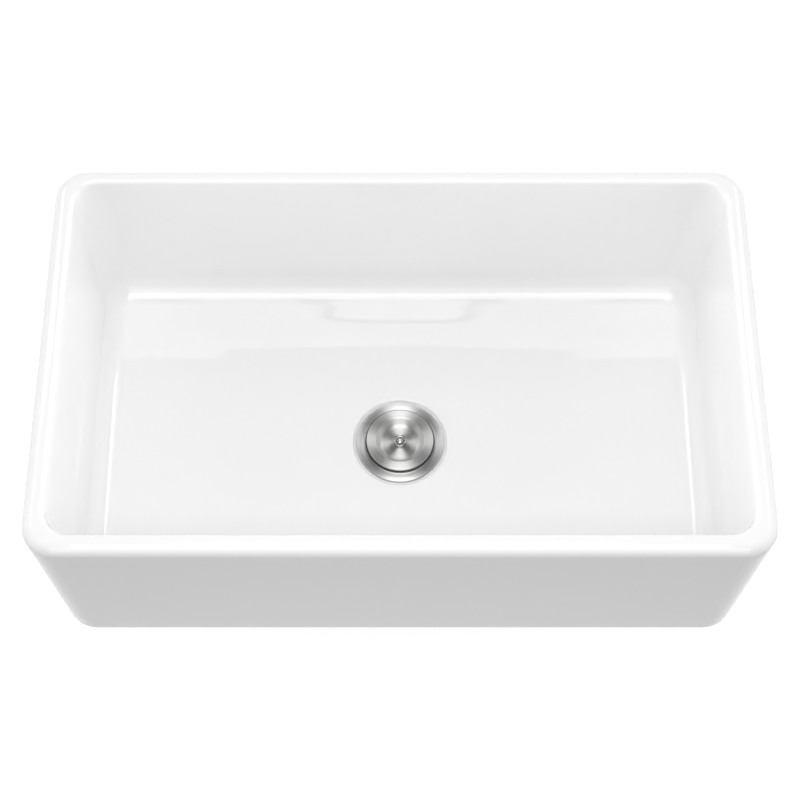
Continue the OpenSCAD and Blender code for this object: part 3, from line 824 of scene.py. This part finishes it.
def makeLockNut():
    n = lockNut
    low, high = n["low"], n["high"]
    collar, edge = n["radius"] + n["collarOut"], n["collarEdge"]
    profile = [(n["bore"] + n["lead"], low), (n["radius"] - n["bevel"], low)]
    profile += [(n["radius"], low + n["bevel"]), (n["radius"], high - n["collar"])]
    profile += [(collar, high - n["collar"]), (collar, high - edge), (collar - edge, high)]
    profile += [(n["bore"], high), (n["bore"], low + n["lead"])]
    source = profileMesh("lockNut", profile)
    middle = (low + high) / 2 + baseHeight
    lugLength = n["lugLength"] + 2 * n["lugRoot"]
    values = {
        "Steps": 160, "Rows": len(profile) + 1, "Lugs": n["lugs"],
        "Lug Radius": (n["radius"] + n["lugLength"] / 2 - n["lugRoot"]) * mm,
        "Lug Size": [v * mm for v in (lugLength, n["lugWidth"], high - low)],
        "Lug Height": middle * mm,
    }
    piece = grow("lockNut", makeLugTree(), source, values, materials["nut"])
    bevel = piece.modifiers.new("edges", "BEVEL")
    bevel.width, bevel.segments, bevel.limit_method = n["lugBevel"] * mm, 2, "ANGLE"
    bevel.angle_limit = math.radians(n["lugAngle"])
    finishPiece(piece, "sink", ["lock_nut"], 40.0)


makeTailpiece()
makeLockNut()
print("strainer and nuts done")


basket = {
    "rim": 40.9, "rimTop": 20.5, "ledge": strainer["ledge"], "top": 38.5, "foot": 34.0,
    "footRound": 4.0, "floor": -23.3, "sheet": 0.8, "hole": 3.2, "holeSides": 20, "around": 28,
    "rows": 5, "rings": 4, "wallAt": 36, "wallCut": 14, "floorCut": 4, "handleTop": 10.5,
    "handleWidth": 10, "handleT": 1.2, "tab": 9, "elbow": 2, "sunk": 0.02, "bendIn": 0.6,
    "bendOut": 1.8,
}

# The inner face: radius and height at its foot and at its neck
basketFoot = basket["foot"] - basket["sheet"]
basketFootAt = basket["floor"] + basket["sheet"] + basket["footRound"]
basketNeck = basket["top"] - basket["sheet"]
basketNeckAt = basket["ledge"] + basket["sheet"]


def basketInside(height):
    share = (height - basketFootAt) / (basketNeckAt - basketFootAt)
    return basketFoot + (basketNeck - basketFoot) * share


def makeBasketTree():
    # A turned shell with rows of holes round its wall and rings of holes in its floor
    board, given = newTree("perforatedShell", [
        ("Steps", "Int"), ("Rows", "Int"), ("Hole", "Float"), ("Around", "Int"),
        ("Wall Rows", "Int"), ("Low", "Float"), ("Row Step", "Float"), ("Wall Radius", "Float"),
        ("Floor", "Float"), ("Ring Step", "Float"),
    ])
    index = board.add("GeometryNodeInputIndex")["Index"]
    column = index % given["Around"]
    row = (index - column) / given["Around"]
    spin = (column + (row % 2.0) / 2) / given["Around"] * (2 * math.pi)
    points = board.add("GeometryNodePoints", None, {
        "Count": given["Around"] * given["Wall Rows"],
        "Position": board.vector(
            X=given["Wall Radius"] * spin.combine("COSINE"),
            Y=given["Wall Radius"] * spin.combine("SINE"),
            Z=given["Low"] + row * given["Row Step"],
        ),
    })

    def cutter(deep):
        return board.add("GeometryNodeMeshCylinder", None, {
            "Vertices": basket["holeSides"], "Radius": given["Hole"] / 2, "Depth": deep * mm,
        })["Mesh"]

    turn = board.vector(Y=math.pi / 2, Z=spin)
    wallHoles = copies(board, points[0], cutter(basket["wallCut"]), turn)
    rings = board.add("GeometryNodeJoinGeometry")
    for ring in range(1, basket["rings"] + 1):
        circle = board.add("GeometryNodeMeshCircle", {"fill_type": "NONE"}, {
            "Vertices": 6 * ring, "Radius": given["Ring Step"] * float(ring),
        })
        board.link(circle["Mesh"], rings, "Geometry")
    centre = board.add("GeometryNodeMeshLine", None, {"Count": 1})
    board.link(centre["Mesh"], rings, "Geometry")
    places = lifted(board, rings["Geometry"], given["Floor"])
    floorHoles = copies(board, places, cutter(basket["floorCut"]), (0, 0, 0))
    cut = board.add("GeometryNodeMeshBoolean", {"operation": "DIFFERENCE", "solver": "MANIFOLD"})
    board.link(latheSteps(board, given), cut, "Mesh 1")
    for holes in (wallHoles, floorHoles):
        board.link(holes, cut, "Mesh 2")
    return closeTree(board, given, cut["Mesh"])


def makeBasket():
    b = basket
    half, bend, foot = b["sheet"] / 2, 0.3, basketFoot - b["footRound"]
    profile = arc(b["rim"] - half, b["rimTop"] - half, half, 0, 180, 6)
    profile += arc(b["rim"] - b["sheet"] - bend, basketNeckAt + bend, bend, 0, -90, 3)
    profile += arc(basketNeck + 2 * bend, basketNeckAt - 2 * bend, 2 * bend, 90, 174, 5)
    profile += arc(foot, basketFootAt, b["footRound"], -6, -90, 8)
    profile += [(0.0, b["floor"] + b["sheet"]), (0.0, b["floor"])]
    profile += arc(foot, basketFootAt, b["footRound"] + b["sheet"], -90, -6, 8)
    profile += [(b["top"], b["ledge"] - bend), (b["top"] + bend, b["ledge"])]
    profile += [(b["rim"], b["ledge"])]
    low = basketFootAt + b["hole"]
    high = b["ledge"] - 2 * b["hole"]
    values = {
        "Steps": 168, "Rows": len(profile) + 1, "Hole": b["hole"] * mm, "Around": b["around"],
        "Wall Rows": b["rows"], "Low": (low + baseHeight) * mm,
        "Row Step": (high - low) / (b["rows"] - 1) * mm, "Wall Radius": b["wallAt"] * mm,
        "Floor": (b["floor"] + baseHeight) * mm,
        "Ring Step": foot / (b["rings"] + 0.5) * mm,
    }
    source = profileMesh("basket", profile)
    piece = grow("basket", makeBasketTree(), source, values, materials["sheet"])
    finishPiece(piece, "basket", ["basket"], 35.0)


def makeHandle():
    # A bent strap, its ends welded to the wall: up the left, over, down the right and back
    b = basket
    top, low = b["handleTop"], b["handleTop"] - b["tab"]
    under = top - b["handleT"]
    outside = [(basketInside(z) - b["sunk"], z) for z in (low, under - b["elbow"])]
    corner = basketInside(under) - b["handleT"] - b["bendIn"]
    outside += arc(corner, top - b["bendOut"], b["bendOut"], 20, 90, 6)
    inside = arc(corner, top - b["bendOut"], b["bendIn"], 90, 0, 6)
    inside += [(basketInside(low) - b["handleT"], low)]
    outline = [(-x, z) for x, z in outside] + outside[::-1]
    outline += inside[::-1] + [(-x, z) for x, z in inside]
    width = b["handleWidth"] / 2
    points = [
        (x * mm, side * mm, (z + baseHeight) * mm) for side in (-width, width) for x, z in outline
    ]
    n = len(outline)
    faces = [(i, (i + 1) % n, (i + 1) % n + n, i + n) for i in range(n)]
    faces += [tuple(range(n)), tuple(range(2 * n - 1, n - 1, -1))]
    piece = meshPiece("basketHandle", points, faces, materials["bright"])
    finishPiece(piece, "basket", ["basket_handle"], 35.0)


makeBasket()
makeHandle()
print("basket done")


lid = {
    "edge": 42.35, "top": 31.0, "edgeHeight": 2.2, "sheet": 0.8, "round": 1.0, "dish": 31.8,
    "dishFloor": 21.9, "depth": 9.5, "shoulder": 2.2, "stepWidth": 3.1, "stepHeight": 1.0,
    "screwHole": 2.15, "seal": 43.85, "sealRound": 0.8, "sealEdge": 0.3, "skirt": 40.8,
    "sealChamfer": (0.6, 0.4), "skirtHeight": 3.0, "webHeight": 27.7, "webRadius": 38.3,
    "flats": (38.0, 35.0), "stepTop": (0.35, 0.33), "stepEdge": (0.5, 0.12),
    "floorEdge": (1, 0.02), "floorMiddle": 12.0, "plateGap": 0.02, "plateTop": 0.6,
    "plateBend": 0.95,
}
dishFloorAt = lid["top"] - lid["depth"]


def dishPath():
    # Down the shoulder, over the step and along the floor to the screw
    fall = math.degrees(math.atan2(
        lid["depth"] - lid["stepHeight"] - lid["shoulder"],
        lid["dish"] - lid["dishFloor"] - lid["stepWidth"],
    ))
    path = arc(lid["dish"], lid["top"] - lid["shoulder"], lid["shoulder"], 90, 90 + fall, 10)
    stepAt = (lid["dishFloor"] + lid["stepWidth"], dishFloorAt + lid["stepHeight"])
    (topOut, topUp), (edgeIn, edgeDown) = lid["stepTop"], lid["stepEdge"]
    path += [(stepAt[0] + topOut, stepAt[1] + topUp), (stepAt[0] - edgeIn, stepAt[1] - edgeDown)]
    path += easeBetween(stepAt, (lid["dishFloor"], dishFloorAt), 6)[1:]
    inwards, drop = lid["floorEdge"]
    path += [(lid["dishFloor"], dishFloorAt), (lid["dishFloor"] - inwards, dishFloorAt - drop)]
    path += [(lid["floorMiddle"], dishFloorAt), (lid["screwHole"], dishFloorAt)]
    return path


def makeLidPlate():
    path = [(lid["edge"], lid["top"] - lid["edgeHeight"])]
    path += arc(lid["edge"] - lid["round"], lid["top"] - lid["round"], lid["round"], 0, 90, 8)
    path += [(size, lid["top"]) for size in lid["flats"]]
    turnPiece(
        "lidPlate", sheetProfile(path + dishPath(), lid["sheet"]), materials["lid"], "lid",
        ["lid_plate"], steps=224, angle=50,
    )


def makeLidSeal():
    # From the web, down the skirt, out over the flange's land and up to the plate's edge
    edge, under = lid["top"] - lid["edgeHeight"], lid["top"] - lid["sheet"]
    web, inside = lid["dish"] + lid["shoulder"], lid["edge"] - lid["sheet"]
    land, landIn, foot = strainer["land"], strainer["landIn"], strainer["land"] - lid["skirtHeight"]
    bend, lip, (cut, drop) = lid["sealRound"], lid["sealEdge"], lid["sealChamfer"]
    profile = [(web, lid["webHeight"]), (lid["webRadius"], lid["webHeight"])]
    profile += [(lid["webRadius"], foot)]
    profile += arc(lid["skirt"] - bend, foot + bend, bend, -90, 0, 5)
    profile += [(lid["skirt"], land + lip), (landIn, land + lip), (landIn, land)]
    profile += arc(lid["seal"] - lip, land + lip, lip, -90, 0, 4)
    profile += arc(lid["seal"] - bend, edge - bend, bend, 0, 90, 6)
    profile += [(inside, edge), (inside, under - drop), (inside - cut, under), (web, under)]
    turnPiece(
        "lidSeal", profile, materials["rubber"], "lid", ["lid_seal"], steps=192
    )


def makeBackingPlate():
    # The plate leaves the web of the seal and follows the dish from below
    web, gap = lid["webHeight"], lid["plateGap"]
    under = [p for p in offsetPath(dishPath(), lid["sheet"]) if p[1] < web - lid["plateTop"]]
    bend = under[0][0] + (web - under[0][1]) * lid["plateBend"]
    path = [(lid["webRadius"] - gap, web - gap), (bend, web - gap)] + under
    turnPiece(
        "lidBackingPlate", sheetProfile(path, lid["sheet"]), materials["sheet"], "lid",
        ["lid_backing_plate"], steps=160, angle=50,
    )


knob = {
    "head": 8.4, "height": 8.6, "stem": 5.6, "waist": 0.6, "hollow": 2.4, "rim": 1.0,
    "web": 1.2, "screw": 2.0, "screwHead": 3.85, "screwHeadHeight": 2.0, "screwEnd": 16.6,
    "screwPoint": 0.4, "footHeight": 1.6, "neckRound": 1.7, "headRound": 0.8, "hollowRound": 1.0,
    "footEdge": 0.3, "footTop": 0.5,
}


def makeKnob():
    k = knob
    top = dishFloorAt + k["height"]
    head, waist = top - k["hollow"] - k["web"], k["stem"] - k["waist"]
    profile = [(lid["screwHole"], dishFloorAt), (k["stem"] - k["footEdge"], dishFloorAt)]
    profile += [(k["stem"], dishFloorAt + k["footEdge"])]
    foot, neck, bend, half = k["footHeight"], k["neckRound"], k["headRound"], k["rim"] / 2
    start, end = dishFloorAt + k["footTop"], dishFloorAt + foot
    profile += easeBetween((k["stem"], start), (waist, end), 4)
    profile += [(waist, head - foot)]
    profile += arc(waist + neck, head - foot, neck, 180, 100, 6)
    profile += arc(k["head"] - bend, head + bend, bend, -80, 0, 5)
    profile += arc(k["head"] - half, top - half, half, 0, 180, 8)
    bend = k["hollowRound"]
    profile += arc(k["head"] - k["rim"] - bend, top - k["hollow"] + bend, bend, 0, -90, 5)
    profile += [(lid["screwHole"], top - k["hollow"])]
    turnPiece(
        "lidKnob", profile, materials["knob"], "lid", ["lid_knob"], steps=128
    )


def makeScrew():
    k = knob
    seat = dishFloorAt + k["height"] - k["hollow"]
    rise, size = k["screwHeadHeight"], k["screwHead"]
    crown = (size * size + rise * rise) / (2 * rise)
    sweep = math.degrees(math.asin(size / crown))
    profile = [(0.0, k["screwEnd"]), (k["screw"] - k["screwPoint"], k["screwEnd"])]
    profile += [(k["screw"], k["screwEnd"] + k["screwPoint"]), (k["screw"], seat)]
    profile += arc(0, seat + rise - crown, crown, 90 - sweep, 90, 10)
    turnPiece(
        "lidScrew", profile, materials["bright"], "lid", ["lid_screw"], steps=96
    )


makeLidPlate()
makeLidSeal()
makeBackingPlate()
makeKnob()
makeScrew()
print("lid done")


# Nodes that keep their CAD shape get only a finish
carried = {
    "flange_gasket": "gasket", "rubber_washer": "rubber", "friction_washer": "card",
    "tailpiece_washer": "nylon", "coupling_nut": "chrome", "lid_washer": "sheet",
    "lid_nut": "bright",
}
for nodeName, finish in carried.items():
    held = bpy.data.objects[nodeName]
    held.data.materials.clear()
    held.data.materials.append(materials[finish])


# Light from the sides, the front and the back, and the floor that it falls on
studio = {
    "sides": 1.9, "front": 0.28, "back": 0.7, "turnOver": (-0.3, 0.3), "floorAt": -0.0005,
    "floorHalf": 9.0, "floorNear": 0.55, "floorFar": 0.08, "floorFade": (0.35, 0.95),
    "glow": 0.84, "shadow": 0.32,
}
# What metal and glaze mirror: brightness, and where it fades in and out
mirrored = {
    "ceiling": 0.05, "walls": 0.02, "wallsFrom": (0.3, 0.6), "wings": 0.5,
    "wingsFrom": (0.68, 0.84), "patch": 1.5, "patchWide": (0.30, 0.38, 0.5, 0.6),
    "patchDeep": (0.25, 0.35, 0.6, 0.7), "strip": 2.0, "stripWide": (0.26, 0.34),
    "stripBefore": (-0.5, -0.44), "stripOver": (0.1, 0.3), "horizon": (0.02, 0.2),
}
# Lamps: distance from the drain, direction, width, length, radiance
lamps = {
    "key": (2.6, (0.0, -0.305, 0.952), 1.55, 1.3, 3.66),
    "fill": (2.6, (0.0, 0.063, 0.998), 1.1, 0.72, 1.6),
    "right": (2.6, (0.42, 0.48, 0.77), 0.35, 0.8, 3.6),
    "left": (2.6, (-0.42, 0.48, 0.77), 0.35, 0.8, 2.5),
}


def makeFloor():
    half, at = studio["floorHalf"], studio["floorAt"]
    points = [(-half, -half, at), (half, -half, at), (half, half, at), (-half, half, at)]
    material = bpy.data.materials.new("paleFloor")
    material.use_nodes = True
    material.node_tree.nodes.clear()
    board = Board(material.node_tree)
    path = board.add("ShaderNodeLightPath")
    seen = path["Is Camera Ray"].combine("MAXIMUM", path["Is Glossy Ray"])
    seen = seen.combine("MAXIMUM", path["Is Transmission Ray"])
    white = board.add("ShaderNodeEmission", None, {"Strength": studio["glow"]})
    shade = board.add("ShaderNodeBsdfDiffuse", None, {"Color": (*[studio["shadow"]] * 3, 1)})
    pale = board.add("ShaderNodeAddShader", None, {0: white["Emission"], 1: shade["BSDF"]})
    # The pale sheet under the sink is smaller than the dark studio round it
    out = radius(board, board.add("ShaderNodeTexCoord")["Object"])[0]
    near, far = [(studio[k],) * 3 for k in ("floorNear", "floorFar")]
    pile = board.mixColour(out.ramp(*studio["floorFade"]), near, far)
    matt = board.add("ShaderNodeBsdfDiffuse", None, {"Color": pile})
    mixed = board.add(
        "ShaderNodeMixShader", None, {"Fac": seen, 1: matt["BSDF"], 2: pale["Shader"]}
    )
    board.add("ShaderNodeOutputMaterial", None, {"Surface": mixed["Shader"]})
    floor = meshPiece("studioFloor", points, [(0, 1, 2, 3)], material)


def band(value, low, full, last, high):
    # Rises from low to full and falls from last to high
    return value.ramp(low, full) * value.ramp(last, high, 1.0, 0.0)


def makeWorld():
    world = bpy.data.worlds.new("studio")
    world.use_nodes = True
    world.node_tree.nodes.clear()
    bpy.context.scene.world = world
    board = Board(world.node_tree)
    way = board.add("ShaderNodeTexCoord")["Generated"]
    across, along, up = board.split(way)
    path = board.add("ShaderNodeLightPath")
    aside = across.combine("ABSOLUTE")
    # Soft light from each side, mixed by how far a ray leans that way
    facing = along.ramp(*studio["turnOver"], studio["front"], studio["back"])
    dome = across * across * studio["sides"] + along * along * facing
    # Metal and glaze see a ceiling, darker walls beside it, pale wings and patches further out,
    # a strip that goes on from the key lamp towards the front, and white near the horizon
    m = mirrored
    room = aside.ramp(*m["wallsFrom"], m["ceiling"], m["walls"])
    room = room + aside.ramp(*m["wingsFrom"]) * m["wings"]
    room = room + band(aside, *m["patchWide"]) * band(along, *m["patchDeep"]) * m["patch"]
    mirror = room + up.ramp(*m["horizon"], 1.0, 0.0) * (1.0 - room)
    strip = aside.ramp(*m["stripWide"], 1.0, 0.0) * along.ramp(*m["stripBefore"], 1.0, 0.0)
    mirror = mirror + strip * up.ramp(*m["stripOver"]) * m["strip"]
    light = dome + path["Is Glossy Ray"] * (mirror - dome)
    for seen in ("Is Camera Ray", "Is Transmission Ray"):
        light = light + path[seen] * (1.0 - light)
    tint = board.add("ShaderNodeBackground", None, {"Color": (1, 1, 1, 1), "Strength": light})
    board.add("ShaderNodeOutputWorld", None, {"Surface": tint["Background"]})


def makeLamps():
    drain = mathutils.Vector((0, 0, (baseHeight + sink["base"]) * mm))
    for name, (distance, way, wide, long, radiance) in lamps.items():
        data = bpy.data.lights.new(name, "AREA")
        data.shape, data.size, data.size_y = "RECTANGLE", wide, long
        data.energy = radiance * math.pi * wide * long
        lamp = bpy.data.objects.new(name, data)
        bpy.context.scene.collection.objects.link(lamp)
        way = mathutils.Vector(way).normalized()
        lamp.location = way * distance + drain
        lamp.rotation_euler = way.to_track_quat("Z", "Y").to_euler()


# The photograph's view
view = {
    "place": (0.0, -1.0094, 2.2461), "tilt": 27.36, "lens": 81.65, "sensor": 36.0,
    "clip": (0.05, 60.0),
}


def makeCamera():
    data = bpy.data.cameras.new("camera")
    data.sensor_width, data.lens = view["sensor"], view["lens"]
    data.clip_start, data.clip_end = view["clip"]
    camera = bpy.data.objects.new("camera", data)
    bpy.context.scene.collection.objects.link(camera)
    camera.location = view["place"]
    camera.rotation_euler = (math.radians(view["tilt"]), 0.0, 0.0)
    bpy.context.scene.camera = camera


makeFloor()
makeWorld()
makeLamps()
makeCamera()
bpy.context.scene.view_settings.view_transform = "Standard"
print("studio done")
